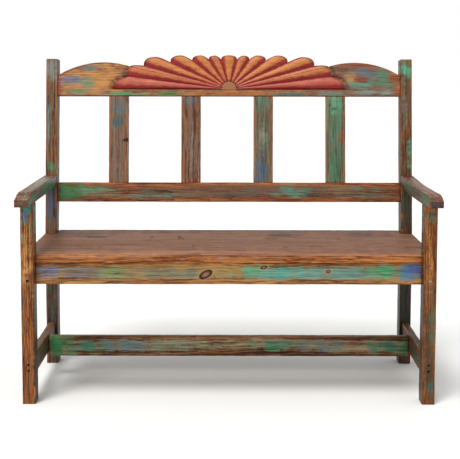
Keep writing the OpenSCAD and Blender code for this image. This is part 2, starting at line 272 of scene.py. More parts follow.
def bore(obj, places):
    """Cuts round sinkings into a timber, each a prism of 20 sides from 4 mm outside the face to its depth.

    A place is (centre of the mouth, unit way in, radius, depth). Round each mouth, the points take their
    grain, wear and paint from the nearest point of the whole timber, and those inside are painted near black,
    as painted shade in the sinking.
    """
    around = 20
    turn = np.linspace(0, 2 * math.pi, around + 1)[:-1, None]
    near = np.arange(around)
    after = (near + 1) % around
    rings, faces = [], []
    for n, (mouth, way, radius, depth) in enumerate(places):
        side = Vector(way).orthogonal().normalized()
        other = Vector(way).cross(side)
        circle = np.array(mouth) + radius * (np.cos(turn) * side + np.sin(turn) * other)
        rings += [circle + out * np.array(way) for out in (-0.004, depth)]
        start = 2 * around * n
        faces += (start + np.stack([near, after, around + after, around + near], 1)).tolist()
        faces += [(start + near[::-1]).tolist(), (start + around + near).tolist()]
    mesh = bpy.data.meshes.new("bore")
    mesh.from_pydata(np.concatenate(rings).tolist(), [], faces)
    cutter = bpy.data.objects.new("bore", mesh)
    bpy.context.scene.collection.objects.link(cutter)
    cut = obj.modifiers.new("bore", "BOOLEAN")
    cut.operation, cut.solver, cut.object = "DIFFERENCE", "EXACT", cutter
    whole = obj.data
    done = bpy.data.meshes.new_from_object(obj.evaluated_get(bpy.context.evaluated_depsgraph_get()))
    obj.modifiers.clear()
    obj.data = done
    done.set_sharp_from_angle(angle=math.radians(50))
    bpy.data.objects.remove(cutter)
    was, now = read(whole.vertices, "co", 3), read(done.vertices, "co", 3)
    for mouth, way, radius, _ in places:
        away = now - np.array(mouth)
        deep = away @ np.array(way, float)
        reach = np.linalg.norm(away - deep[:, None] * way, axis=1)
        lip = np.nonzero((reach < 1.03 * radius) & (np.abs(deep) < 0.012))[0]
        closest = np.linalg.norm(was - now[lip, None], axis=2).argmin(1)
        for label, _, key, width in LAYERS:
            values = read(done.attributes[label].data, key, width)
            values[lip] = read(whole.attributes[label].data, key, width)[closest]
            if label == "paint":
                # The walls inside the sinking get a near black: painted shade.
                values[lip[deep[lip] > 0.001]] = linear(*HOLE_SHADE)
            done.attributes[label].data.foreach_set(key, values.ravel())


def lean(points):
    """Points of the leaning back, given from the posts' front faces and the bend, in the row's axes."""
    p = np.asarray(points, float)
    y0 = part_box("rear_post_left")[0].y
    c, s = math.cos(RAKE), math.sin(RAKE)
    return np.stack([p[..., 0], y0 + p[..., 1] * c + p[..., 2] * s, BEND - p[..., 1] * s + p[..., 2] * c], -1)


# The carved crest rail


def quarter(start, end, power_x, power_z, count=28):
    """Points on a quarter of a superellipse that leaves start upright and meets end level."""
    t = np.linspace(0, math.pi / 2, count)
    x = start[0] + (end[0] - start[0]) * (1 - np.cos(t) ** (2 / power_x))
    z = start[1] + (end[1] - start[1]) * np.sin(t) ** (2 / power_z)
    return np.stack([x, z], 1)


def fan_rim():
    """The fan's rim over its right half, from the base line up to the middle petal's crown.

    Each petal rises steeply from its outer notch to its peak and falls more gently to its inner notch. The
    direction from the hub never turns back.
    """
    start = np.array(PEAKS[0])
    span = np.array(NOTCHES[0]) - start
    t = np.linspace(0, 1, 30)
    parts = [np.stack([start[0] + span[0] * (1 - (1 - t**1.7) ** (1 / 1.7)), start[1] + span[1] * t], 1)]
    for outer, peak, inner in zip(NOTCHES, PEAKS[1:], NOTCHES[1:] + (None,)):
        parts.append(quarter(outer, peak, 2.5, 2.5))
        if inner:
            t = np.linspace(0, 1, 24)[1:]
            fall = t**1.5
            x, z = peak[0] + (inner[0] - peak[0]) * t, peak[1] + (inner[1] - peak[1]) * fall
            parts.append(np.stack([x, z], 1))
    rim = np.concatenate(parts)
    angle = np.maximum.accumulate(np.arctan2(rim[:, 1], rim[:, 0]))
    return angle, np.hypot(rim[:, 0], rim[:, 1])


RIM_ANGLE, RIM_REACH = fan_rim()
RIM_ANGLE = np.concatenate([RIM_ANGLE, math.pi - RIM_ANGLE[::-1]]) + np.arange(2 * len(RIM_ANGLE)) * 1e-9
RIM_REACH = np.concatenate([RIM_REACH, RIM_REACH[::-1]])
VALLEYS = [math.atan2(z, x) for x, z in NOTCHES]
PETAL_EDGES = np.array([0.0, *VALLEYS, *(math.pi - v for v in reversed(VALLEYS)), math.pi])


def across_petal(angle):
    """Where each direction falls across its petal, -1 to 1, the petal's half angle, and its number."""
    turn = np.clip(angle, 1e-5, math.pi - 1e-5)
    which = np.clip(np.searchsorted(PETAL_EDGES, turn, side="right") - 1, 0, len(PETAL_EDGES) - 2)
    half = (PETAL_EDGES[which + 1] - PETAL_EDGES[which]) / 2
    return (turn - PETAL_EDGES[which] - half) / half, half, which


def petal_reach(angle):
    """Distance from the hub to the fan's rim in each direction."""
    return np.interp(angle, RIM_ANGLE, RIM_REACH)


def shoulder_top(x):
    """Height of a shoulder above the rail's underside at x: an arc of a circle."""
    return SHOULDER_H + np.sqrt(SHOULDER_R**2 - (np.abs(x) - SHOULDER_X) ** 2) - SHOULDER_R


def crest_outline(end):
    """The rail's front outline from the right end's foot, anticlockwise, as (x, z) from the fan's hub."""
    foot = CREST_Z - HUB_Z
    x = np.linspace(end, SHOULDER_END, 70)
    right = np.stack([x, shoulder_top(x) + foot], 1)
    meet = math.atan2(right[-1, 1], right[-1, 0])
    open_part = (RIM_ANGLE > meet) & (RIM_ANGLE < math.pi - meet)
    angle, reach = RIM_ANGLE[open_part], RIM_REACH[open_part]
    scallops = np.stack([reach * np.cos(angle), reach * np.sin(angle)], 1)
    scallops = scallops[np.r_[True, np.linalg.norm(np.diff(scallops, axis=0), axis=1) > 2e-4]]
    left = right[::-1] * (-1, 1)
    side = np.stack([np.full(60, end), np.linspace(foot, right[0, 1], 61)[:-1]], 1)
    bottom = np.stack([np.linspace(-end, end, 300)[:-1], np.full(299, foot)], 1)
    return np.concatenate([side, right, scallops, left, side[::-1] * (-1, 1), bottom[1:]])


def carving(x, z):
    """Depth of the carving at (x, z) from the hub, and how much of each colour zone is there.

    Each petal is convex: it falls from its crown to the valleys as the power 1.7 of the way across, by at
    most 7.5 mm and less near the hub, and rolls down at its tip. Two fine grooves run round the fan, one
    groove under the base line, and the hub is a sunk half disc. Returns the depth, how near a valley each
    point is, its share of the way from hub to rim, the hub, the fine lines, the petal's number and whether
    it is on a petal.
    """
    angle, r = np.arctan2(z, x), np.hypot(x, z)
    above = z > 0
    angle = np.where(above, angle, np.where(x > 0, 0.0, math.pi))
    u, half, which = across_petal(angle)
    reach = petal_reach(angle)
    inside = above & (r < reach)
    room = np.minimum(0.0075, 0.55 * r * np.sin(half))
    share = np.clip(r / reach, 0, 1)
    petal = room * np.abs(u) ** 1.7 + 0.0030 * step(share, 0.86, 1.0) ** 2 + 0.0012
    petal += 0.0016 * step(z, 0.004, 0.0)
    out = r - reach
    groove = 0.0020 * (np.exp(-((out - 0.0022) / 0.0011) ** 2) + np.exp(-((out - 0.0068) / 0.0011) ** 2))
    groove = np.where(above, groove, 0)
    base = 0.0022 * np.exp(-((z + 0.0012) / 0.0014) ** 2) * step(FAN_A + 0.01 - np.abs(x), 0, 0.01)
    depth = np.where(inside, petal, groove) + base * ~inside
    hub = 1 - step(r, HUB_R - 0.0008, HUB_R + 0.0008)
    hub = np.where(z > -0.002, hub, 0)
    rim = np.exp(-((r - HUB_R) / 0.0016) ** 2) * (z > -0.002)
    depth = depth * (1 - hub) + 0.0020 * hub + 0.0028 * rim
    valley = np.where(inside, np.abs(u), 0) * (1 - hub)
    line = np.clip(groove / 0.002, 0, 1) + np.clip(base / 0.0022, 0, 1) * ~inside + rim
    return depth, valley, np.where(inside, share, 0), hub, np.clip(line, 0, 1), which, inside


def over(paint, colour, alpha, weight):
    """The paint with a colour laid over it, by a weight from 0 to 1."""
    return paint + (np.array(linear(colour, alpha)) - paint) * weight[..., None]


def fan_paint(points, x, z, patches):
    """Colours of the carved face: ochre crowns, red valleys, rose outer petals, brown hub, dark grooves, and
    painted shade: the red reaches further over each petal's lower flank, and valley bottoms and petal tips
    darken.
    """
    _, valley, share, hub, line, which, inside = carving(x, z)
    paint = coat(points, ("#6F6256", 0.42), patches)
    flat = np.stack([x, z, 0 * x], -1)
    broken = 0.09 * smooth_noise(flat, 0.022, 31) + 0.07 * smooth_noise(flat * (1, 2, 1), 0.008, 32)
    inner = step(share + broken, 0.62, 0.15)
    crown = np.array(linear("#C88247", 1.15))
    tone = over(crown, "#B4564C", 1.15, np.clip(np.array(ROSE)[which] + 0.45 * inner + broken, 0, 1))
    # The red is pushed toward each petal's lower flank: red paint in the valleys, with painted shade on the
    # flank that faces down.
    lower_flank_shade = across_petal(np.clip(np.arctan2(z, x), 0, math.pi))[0]
    lower_flank_shade = np.abs(lower_flank_shade - 0.24 * x / np.hypot(x, z))
    tone = over(tone, "#A32A2E", 1.25, step(lower_flank_shade + broken, 0.42, 0.74) * (valley > 0))
    # Near black along each valley's bottom: painted shade in the crease.
    tone = over(tone, "#4E1412", 1.3, 0.75 * step(valley, 0.84, 1.0))
    # A dark band round each petal's tip: painted shade on the rounded-over edge.
    tone = over(tone, "#5A2319", 1.3, 0.8 * step(share, 0.955, 1.0) * inside)
    paint = np.where(inside[..., None], tone, paint)
    paint = over(paint, "#A5714E", 1.2, hub)
    return over(paint, "#35200F", 1.3, 0.85 * line)


def crest(name, looks, patches, seed):
    """The carved rail: rings from the hub out to the outline, round the edge, and back over the rear face.

    A ring's points lie on rays from the hub, so valleys and crowns follow the grid. Between the hub and the
    petals' ends the rings share the petals' length; beyond, they share what is left of the ray. The face is
    pushed back by the carving's depth.
    """
    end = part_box("front_leg_right")[0].x
    edge = crest_outline(end)
    along = np.roll(edge, -1, 0) - np.roll(edge, 1, 0)
    normal = np.stack([-along[:, 1], along[:, 0]], 1)
    normal /= np.linalg.norm(normal, axis=1)[:, None]
    arris = 0.0022
    inner = edge + normal * arris
    angle, full = np.arctan2(inner[:, 1], inner[:, 0]), np.hypot(inner[:, 0], inner[:, 1])
    petals = np.minimum(petal_reach(np.clip(angle, 0, math.pi)), 0.985 * full)
    petals = np.where(inner[:, 1] > 0, petals, np.minimum(petals, 0.6 * full))
    unit = inner / full[:, None]
    rings = [share * petals for share in 0.012 + 0.988 * np.linspace(0, 1, 44) ** 1.15]
    rings += [petals + np.minimum(0.0092, 0.4 * (full - petals)) * share for share in np.linspace(0.12, 1, 9)]
    rings += [rings[-1] + (full - rings[-1]) * share for share in np.linspace(0.08, 1, 12)]
    flat = [unit * r[:, None] for r in rings]
    depth = [carving(p[:, 0], p[:, 1])[0] for p in flat]
    base_depth = depth[-1]
    for turn in (30, 60, 90):
        a = math.radians(turn)
        flat.append(edge + normal * arris * (1 - math.sin(a)))
        depth.append(base_depth * (1 - turn / 90 * 0.4) + arris * (1 - math.cos(a)))
    for share in (0.35, 0.7):
        flat.append(edge)
        depth.append(np.full(len(edge), arris + share * (CREST_T - 2 * arris)))
    for turn in (0, 45, 90):
        a = math.radians(turn)
        flat.append(edge + normal * arris * (1 - math.cos(a)))
        depth.append(np.full(len(edge), CREST_T - arris * (1 - math.sin(a))))
    for share in (0.9, 0.75, 0.6, 0.45, 0.3, 0.15, 0.02):
        flat.append(inner * share)
        depth.append(np.full(len(edge), CREST_T))
    flat, depth = np.stack(flat), np.stack(depth)
    x, z = flat[..., 0], flat[..., 1]
    back = depth > CREST_T - 0.001
    place = np.stack([x, z, depth], -1)
    wave = 0.7 * smooth_noise(place, 0.05, seed) + 0.5 * smooth_noise(place, 0.012, seed + 1)
    depth = depth + looks.unevenness * wave * np.where(back, -1, 1)
    points = lean(np.stack([x, REVEAL + depth, z + HUB_Z], -1))
    rows, columns = x.shape
    front = np.arange(rows) < len(rings)
    paint = fan_paint(points, x, z, patches)
    side = coat(points, ("#5C4A3E", 0.35), [])
    paint = np.where(front[:, None, None], paint, side)
    rim_wear = np.zeros((rows, columns))
    rim_wear[len(rings):len(rings) + 4] = 1
    near = np.linalg.norm(flat - inner[None], axis=-1)
    rim_wear = np.maximum(rim_wear, np.exp(-near / 0.003) * front[:, None])
    petals = carving(x, z)[-1]
    rim_wear = np.where(petals & front[:, None], 0.25 * rim_wear, rim_wear)
    grain = np.stack([x, z, depth], -1)
    mids = lean(np.array([[0, REVEAL + depth[0].mean(), HUB_Z], [0, REVEAL + CREST_T, HUB_Z]]))
    grain = np.concatenate([grain.reshape(-1, 3), [[0, 0, 0], [0, 0, CREST_T]]])
    grain = grain + (seed * 0.731, 0.417, 0.293)
    points = np.concatenate([points.reshape(-1, 3), mids])
    paint = np.concatenate([paint.reshape(-1, 4), [paint[0, 0], paint[-1, 0]]])
    faces = grid_faces(rows, columns)
    close_ends(faces, rows, columns, rows * columns)
    return make_object(name, points, faces, grain, np.r_[rim_wear.ravel(), 0, 0], paint)


# Materials

ATTRIBUTE, MATHS, VECTOR, NOISE, RAMP, BLEND, RANGE, BUMP, SHADER, OUTPUT = ("ShaderNode" + kind for kind in (
    "Attribute", "Math", "VectorMath", "TexNoise", "ValToRGB", "Mix", "MapRange", "Bump", "BsdfPrincipled",
    "OutputMaterial"))
PLUS, LESS, TIMES, POWER, FRACTION, NEAR, TIMES_PLUS, LENGTH = ({"operation": name} for name in (
    "ADD", "SUBTRACT", "MULTIPLY", "POWER", "FRACT", "COMPARE", "MULTIPLY_ADD", "LENGTH"))
OVER, TINT = ({"data_type": "RGBA", "blend_type": name} for name in ("MIX", "MULTIPLY"))
SMOOTH = {"interpolation_type": "SMOOTHSTEP"}

PAINTED_DIMMING = "#DAD9D7"                 # grey multiplied into every finish: painted shade that dims them all in place of dimmer light
ORANGE = ("#4A2412", "#93532B", "#C98549")      # dark, middle and light of each pine
GOLDEN = ("#553218", "#A06C3A", "#D09C5E")
LEG_PINE = ("#341708", "#83461F", "#C27C3E")
BROWN = ("#2A160D", "#74431F", "#B27038")
SLAT_PINE = ("#4A2C1C", "#8A5636", "#B98058")
CREST_PINE = ("#4E2616", "#8A4A2A", "#BE7C45")


def add(tree, kind, settings, *inputs, out=0, **named):
    """Adds a node, sets its properties, sets or links its inputs in order and by name, and gives one output.

    in_6 is the socket with that number. The setting stops is a colour ramp's (position, hex) pairs.
    """
    made = tree.nodes.new(kind)
    for key, value in settings.items():
        if key == "stops":
            marks = made.color_ramp.elements
            while len(marks) < len(value):
                marks.new(0.5)
            for mark, (position, code) in zip(marks, value):
                mark.position, mark.color = position, linear(code)
        else:
            setattr(made, key, value)
    pairs = [(made.inputs[i], value) for i, value in enumerate(inputs)]
    pairs += [(made.inputs[int(key[3:]) if key.startswith("in_") else key.replace("_", " ")], value)
              for key, value in named.items()]
    for socket, value in pairs:
        if isinstance(value, bpy.types.NodeSocket):
            tree.links.new(value, socket)
        else:
            socket.default_value = value
    return made.outputs[out] if made.outputs else None


def start_material(name):
    """A new material and its empty node tree."""
    material = bpy.data.materials.new(name)
    material.use_nodes = True
    material.node_tree.nodes.clear()
    return material, material.node_tree


def painted_pine(name, wood, bold=1.0, rough=0.5, sheen=0.18, knots=()):
    """Old paint worn back to pine. To the eye: fibres and growth lines run along the timber, paint clings
    in long ragged streaks where the layer paint gives it cover, and bare wood shows at every arris.

    wood is the dark, middle and light hex of the pine; bold scales the grain's contrast; a knot is
    (centre in the grain's own metres, half length, half width, tilt).
    """
    material, tree = start_material(name)
    raw, wear, coat_colour = (add(tree, ATTRIBUTE, {"attribute_name": layer}, out=out)
                              for layer, out in (("grain", "Vector"), ("wear", "Fac"), ("paint", "Color")))
    drift = add(tree, NOISE, {}, raw, Scale=6.0, Detail=2.0, out="Color")
    drift = add(tree, VECTOR, TIMES, add(tree, VECTOR, LESS, drift, (0.5, 0.5, 0.5)), (0, 0.014, 0.014))
    grain = add(tree, VECTOR, PLUS, raw, drift)
    # Each noise: waves per metre along and across the grain, detail and roughness. The fibres are 2 mm wide,
    # coarser than pine's, so that they show.
    fibre, streak, band, blotch, speck, growth = (
        add(tree, NOISE, {}, add(tree, VECTOR, TIMES, grain, (along, across, across)),
            Scale=1.0, Detail=detail, Roughness=broken)
        for along, across, detail, broken in (
            (20, 560, 6, 0.75), (3.5, 170, 4, 0.6), (2.0, 48, 3, 0.6), (9, 30, 3, 0.6), (240, 420, 3, 0.6),
            (1.3, 24, 2, 0.45)))
    ring = add(tree, MATHS, POWER, add(tree, MATHS, FRACTION, add(tree, MATHS, TIMES, growth, 15.0)), 3.0)

    def weigh(total, weights):
        """A start value plus each noise, moved to lie round zero, times its weight."""
        total = add(tree, MATHS, PLUS, total, -0.5 * sum(weight for _, weight in weights))
        for value, weight in weights:
            total = add(tree, MATHS, TIMES_PLUS, value, weight, total)
        return total

    tone = weigh(0.50, ((streak, 1.6 * bold), (fibre, 2.2 * bold), (band, 1.2 * bold)))
    tone = add(tree, MATHS, TIMES_PLUS, ring, -0.30 * bold, tone)
    pine = add(tree, RAMP, {"stops": [(0.10, wood[0]), (0.45, wood[1]), (0.85, wood[2])]}, tone)

    held = weigh(coat_colour.node.outputs["Alpha"],
                 ((streak, 1.3), (band, 1.1), (blotch, 1.0), (fibre, 1.7), (speck, 1.0)))
    held = add(tree, MATHS, LESS, held, add(tree, MATHS, TIMES, wear, weigh(0.7, ((blotch, 1.6),))))
    mask = add(tree, RANGE, SMOOTH, held, From_Min=0.18, From_Max=0.80, To_Min=0.0, To_Max=0.90)
    shade = weigh(1.0, ((streak, 1.2 * bold), (fibre, 2.1 * bold)))
    shade = add(tree, MATHS, TIMES_PLUS, ring, -0.22 * bold, shade)
    shade = add(tree, "ShaderNodeCombineXYZ", {}, shade, shade, shade)
    paint = add(tree, BLEND, TINT, 1.0, in_6=coat_colour, in_7=shade, out=2)
    colour = add(tree, BLEND, OVER, mask, in_6=pine, in_7=paint, out=2)
    # Every finish is multiplied by that grey: painted shade standing in for dimmer light.
    colour = add(tree, BLEND, TINT, 1.0, in_6=colour, in_7=linear(PAINTED_DIMMING), out=2)

    relief = 0.0
    for value, height in ((fibre, 0.6), (streak, 0.4), (mask, 0.18), (ring, -0.15)):
        relief = add(tree, MATHS, TIMES_PLUS, value, height, relief)
    for centre, length, width, tilt in knots:
        away = add(tree, VECTOR, LESS, raw, centre)
        away = add(tree, "ShaderNodeVectorRotate", {"rotation_type": "Y_AXIS"}, away, Angle=tilt)
        away = add(tree, VECTOR, TIMES, away, (1 / length, 1 / 0.012, 1 / width))
        far = weigh(add(tree, VECTOR, LENGTH, away, out=1), ((speck, 0.25),))
        halo = add(tree, RANGE, SMOOTH, far, From_Min=1.0, From_Max=2.3, To_Min=0.55, To_Max=0.0)
        core = add(tree, RANGE, SMOOTH, far, From_Min=0.95, From_Max=1.15, To_Min=1.0, To_Max=0.0)
        heart = add(tree, RAMP, {"stops": [(0.0, "#8A6656"), (0.45, "#6A4636"), (0.72, "#3A2218"),
                                           (0.86, "#150B07"), (1.0, "#3C2414")]}, far)
        colour = add(tree, BLEND, OVER, halo, in_6=colour, in_7=linear("#9A7244"), out=2)
        colour = add(tree, BLEND, OVER, core, in_6=colour, in_7=heart, out=2)
        rim = add(tree, MATHS, NEAR, far, 0.88, 0.14)
        relief = add(tree, MATHS, TIMES_PLUS, rim, -0.5, relief)

    dull = add(tree, MATHS, TIMES_PLUS, mask, -0.06, weigh(rough, ((fibre, 0.3),)))
    bump = add(tree, BUMP, {}, Strength=0.6, Distance=0.0012, Height=relief)
    shader = add(tree, SHADER, {}, Base_Color=colour, Roughness=dull, Normal=bump, Specular_IOR_Level=sheen)
    add(tree, OUTPUT, {}, shader)
    return material


def speckled(name, waves, stops, rough, strength, pits):
    """A fixing's finish: one noise, with so many waves per metre, picks its colour and pits its surface."""
    material, tree = start_material(name)
    here = add(tree, "ShaderNodeTexCoord", {}, out="Object")
    spot = add(tree, NOISE, {}, add(tree, VECTOR, TIMES, here, (waves, waves, waves)),
               Scale=1.0, Detail=4, Roughness=0.6)
    colour = add(tree, RAMP, {"stops": stops}, spot)
    bump = add(tree, BUMP, {}, Strength=strength, Distance=pits, Height=spot)
    add(tree, OUTPUT, {}, add(tree, SHADER, {}, Base_Color=colour, Roughness=rough, Normal=bump))
    return material


def finish_piece(obj, material, node):
    """Gives a piece its material, stands it for its CAD node and ties it to the frame."""
    obj.data.materials.append(material)
    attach(obj, "root")
    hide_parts(node)


def material_once(name, make, *args):
    """The material of that name, made the first time it is asked for."""
    return bpy.data.materials.get(name) or make(name, *args)


# Settings


class BenchLooks(bpy.types.PropertyGroup):
    """What a user can change about the looks."""

    arris: bpy.props.FloatProperty(
        name="Arris radius", description="Usual rounding of the timbers' edges",
        default=0.0016, min=0.0005, max=0.004, unit="LENGTH")
    chips: bpy.props.FloatProperty(
        name="Chips", description="How much wider the rounding gets at a chip",
        default=0.0026, min=0.0, max=0.006, unit="LENGTH")
    unevenness: bpy.props.FloatProperty(
        name="Unevenness", description="Height of the waves in the timbers' faces",
        default=0.0004, min=0.0, max=0.001, unit="LENGTH")
    teal: bpy.props.StringProperty(
        name="Teal", description="Main old paint, as an sRGB hex", default="#4E7466")
    green: bpy.props.StringProperty(
        name="Green", description="Bright patches, as an sRGB hex", default="#1F7A45")
    blue: bpy.props.StringProperty(
        name="Blue", description="Blue patch, as an sRGB hex", default="#2F55A5")
    slate: bpy.props.StringProperty(
        name="Slate", description="Grey-blue streaks, as an sRGB hex", default="#5F6B74")
    plum: bpy.props.StringProperty(
        name="Plum", description="Dark red at the joints, as an sRGB hex", default="#4A1718")


def looks_of(context):
    return context.scene.bench_looks


# Operators


class BENCH_OT_legs(bpy.types.Operator):
    """Adds the two front legs and the two leaning rear posts"""

    bl_idname = "bench.legs"
    bl_label = "Legs and posts"

    def execute(self, context):
        looks = looks_of(context)
        leg_pine = material_once("old_pine_leg", painted_pine, LEG_PINE, 0.85, 0.52)
        post_pine = material_once("old_paint_post", painted_pine, BROWN)
        for seed, side in ((1, "left"), (2, "right")):
            name = f"front_leg_{side}"
            lo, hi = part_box(name)
            mid = (lo + hi) / 2
            sign = 1 if side == "right" else -1
            inner = lo.x if sign > 0 else hi.x
            # The inner side face is painted near black green over its length: painted shade on that side
            # face.
            patches = [((inner, mid.y, 0.3), (0.005, 0.06, 0.6), "#1E2C22", 1.3)]
            if sign < 0:
                patches += [
                    ((mid.x, lo.y, 0.46), (0.03, 0.03, 0.12), "#C8904E", 0.62),
                    ((mid.x, lo.y, 0.585), (0.03, 0.03, 0.028), "#3F8C78", 1.05),
                    ((mid.x - 0.004, lo.y, 0.557), (0.012, 0.03, 0.02), "#4A6EA0", 0.95),
                    ((mid.x - 0.013, lo.y, 0.53), (0.006, 0.03, 0.05), "#5F9A80", 0.75),
                    ((mid.x + 0.015, lo.y, 0.55), (0.005, 0.03, 0.06), "#2F6A50", 0.9),
                    ((mid.x - 0.016, lo.y, 0.25), (0.005, 0.03, 0.12), "#3A6A58", 0.7),
                ]
            else:
                patches += [
                    ((mid.x - 0.004, lo.y, 0.585), (0.02, 0.03, 0.012), "#B0662E", 0.7),
                    ((mid.x + 0.002, lo.y, 0.557), (0.018, 0.03, 0.022), "#3F7F68", 0.85),
                    ((mid.x - 0.010, lo.y, 0.50), (0.007, 0.03, 0.035), "#4A9070", 0.8),
                    ((mid.x + 0.004, lo.y, 0.43), (0.010, 0.03, 0.02), "#4A7A62", 0.6),
                    ((mid.x, lo.y, 0.15), (0.03, 0.03, 0.16), "#4A3C28", 0.75),
                    ((mid.x + 0.008, lo.y, 0.26), (0.008, 0.03, 0.12), "#46604A", 0.8),
                    ((mid.x + 0.006, lo.y, 0.05), (0.014, 0.03, 0.02), "#3F6A62", 0.8),
                    ((mid.x, lo.y, 0.46), (0.03, 0.03, 0.10), "#B07C44", 0.4),
                ]
            base = ("#6A5236", 0.28)
            leg = beam(f"{name}_timber", looks, base, patches, [(mid.x, mid.y, lo.z), (mid.x, mid.y, hi.z)],
                       (1, 0, 0), (0, 1, 0), lo.x - mid.x, hi.x - mid.x, lo.y - mid.y, hi.y - mid.y, seed,
                       spacing=0.004)
            finish_piece(leg, leg_pine, name)
            bore(leg, [((mid.x, lo.y, z), (0, 1, 0), SINK_R, SINK_DEPTH) for z in FRAME_SCREWS])
        for seed, side in ((3, "left"), (4, "right")):
            name = f"rear_post_{side}"
            lo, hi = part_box(name)
            x = (lo.x + hi.x) / 2
            half = (hi.x - lo.x) / 2
            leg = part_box(f"front_leg_{side}")
            depth = leg[1].y - leg[0].y
            rise = (hi.z - BEND) / math.cos(RAKE)
            line = [(x, lo.y, 0.0), (x, lo.y, BEND - 0.012), *lean([(x, 0, 0.012), (x, 0, rise)])]
            back = (0, math.cos(RAKE), -math.sin(RAKE))
            v = [(0, 1, 0), (0, 1, 0), back, back]
            sign = 1 if side == "right" else -1
            inner = hi.x if sign < 0 else lo.x
            # The inner side face is painted near black over its lower length: painted shade on that side
            # face.
            patches = [((inner, lo.y + 0.02, 0.2), (0.006, 0.08, 0.4), "#18201A", 1.3)]
            if sign < 0:
                patches += [
                    ((x, lo.y, 0.55), (0.05, 0.05, 0.07), "#4A5A6E", 0.8),
                    ((x, lo.y + 0.05, 0.98), (0.03, 0.06, 0.05), "#7A8078", 0.75),
                    ((x - 0.01, lo.y + 0.04, 0.80), (0.012, 0.06, 0.10), "#5E7A74", 0.7),
                    ((x, lo.y + 0.02, 0.655), (0.03, 0.06, 0.02), "#3F8A66", 0.8),
                    ((x, lo.y, 0.25), (0.012, 0.05, 0.02), looks.green, 1.2),
                    ((x, lo.y, 0.12), (0.05, 0.05, 0.20), "#3C4A44", 0.7),
                ]
            else:
                patches += [
                    ((x, lo.y, 0.53), (0.05, 0.05, 0.09), "#2E3C30", 0.95),
                    ((x, lo.y + 0.06, 0.985), (0.03, 0.06, 0.035), "#4F9A7C", 0.95),
                    ((x + 0.01, lo.y + 0.04, 0.70), (0.010, 0.06, 0.06), "#4F9478", 0.9),
                    ((x - 0.006, lo.y + 0.05, 0.84), (0.010, 0.06, 0.08), "#6E6A5E", 0.7),
                    ((x, lo.y, 0.22), (0.05, 0.05, 0.24), "#26342A", 1.0),
                    ((x + 0.014, lo.y, 0.23), (0.007, 0.03, 0.04), "#2A4468", 0.8),
                ]
            base = ("#5A564A" if sign < 0 else "#54402F", 0.46)
            post = beam(f"{name}_timber", looks, base, patches, line, (1, 0, 0), v,
                        -half, half, 0, depth, seed, spacing=0.0045)
            finish_piece(post, post_pine, name)
            bore(post, [((x, lo.y + depth, z), (0, -1, 0), SINK_R, SINK_DEPTH) for z in FRAME_SCREWS])
        return {"FINISHED"}


def rail(context, node, seed, base, patches, material, ends=None):
    """A straight timber along X in its node's box, less the tenons on its ends."""
    lo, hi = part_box(node)
    x0, x1 = ends or (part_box("front_leg_left")[1].x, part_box("front_leg_right")[0].x)
    y, z = (lo.y + hi.y) / 2, (lo.z + hi.z) / 2
    piece = beam(f"{node}_timber", looks_of(context), base, patches, [(x0, y, z), (x1, y, z)],
                 (0, 1, 0), (0, 0, 1), lo.y - y, hi.y - y, lo.z - z, hi.z - z, seed)
    finish_piece(piece, material, node)


class BENCH_OT_aprons(bpy.types.Operator):
    """Adds the boards under the seat, front, rear and sides"""

    bl_idname = "bench.aprons"
    bl_label = "Aprons"

    def execute(self, context):
        looks = looks_of(context)
        lo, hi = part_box("front_apron")
        front = painted_pine("old_paint_apron", GOLDEN, 1.0, 0.48, knots=knots_on("front_apron", 5, (
            (-0.068, -0.003, 0.021, 0.011, 0.5), (0.103, 0.018, 0.010, 0.005, 0.2),
            (0.293, 0.006, 0.007, 0.005, 0.0))))
        y, z = lo.y, (lo.z + hi.z) / 2
        patches = [
            ((-0.535, y, z + 0.015), (0.07, 0.03, 0.020), "#6C78A0", 0.9),
            ((-0.52, y, z - 0.018), (0.07, 0.03, 0.010), "#767C98", 0.6),
            ((-0.42, y, z), (0.09, 0.03, 0.025), looks.slate, 0.68),
            ((-0.34, y, z + 0.005), (0.05, 0.03, 0.028), "#6E8A5A", 0.80),
            ((-0.24, y, z), (0.08, 0.03, 0.02), "#66705E", 0.62),
            ((-0.13, y, z - 0.005), (0.07, 0.03, 0.022), "#5E7468", 0.62),
            ((0.02, y, z + 0.012), (0.08, 0.03, 0.014), "#A08040", 0.75),
            ((0.085, y, z + 0.013), (0.05, 0.03, 0.016), "#3FA368", 1.15),
            ((0.17, y, z + 0.002), (0.12, 0.03, 0.024), "#4A9C90", 1.15),
            ((0.14, y, z + 0.026), (0.08, 0.03, 0.005), "#3A8A58", 1.1),
            ((0.34, y, z), (0.13, 0.03, 0.025), "#5F9088", 1.0),
            ((0.455, y, z + 0.010), (0.055, 0.03, 0.022), "#37A070", 1.25),
            ((0.53, y, z + 0.002), (0.040, 0.03, 0.030), "#3A7A96", 1.2),
            ((0.556, y, z + 0.012), (0.030, 0.03, 0.022), looks.blue, 1.6),
            ((0, y, lo.z + 0.003), (2.0, 0.03, 0.006), "#A8713A", 0.15),
            ((-0.573, y, z), (0.006, 0.03, 0.05), looks.plum, 1.0),
            ((0.571, y, z - 0.008), (0.005, 0.03, 0.03), looks.plum, 1.2),
        ]
        rail(context, "front_apron", 5, ("#7D7A58", 0.44), patches, front)
        plain = material_once("old_pine_inside", painted_pine, BROWN, 1.0, 0.55)
        rail(context, "rear_apron", 6, ("#5A5244", 0.35), [], plain)
        for seed, side in ((7, "left"), (8, "right")):
            side_board(context, f"side_apron_{side}", seed, ("#5A5244", 0.35), [], plain)
        return {"FINISHED"}


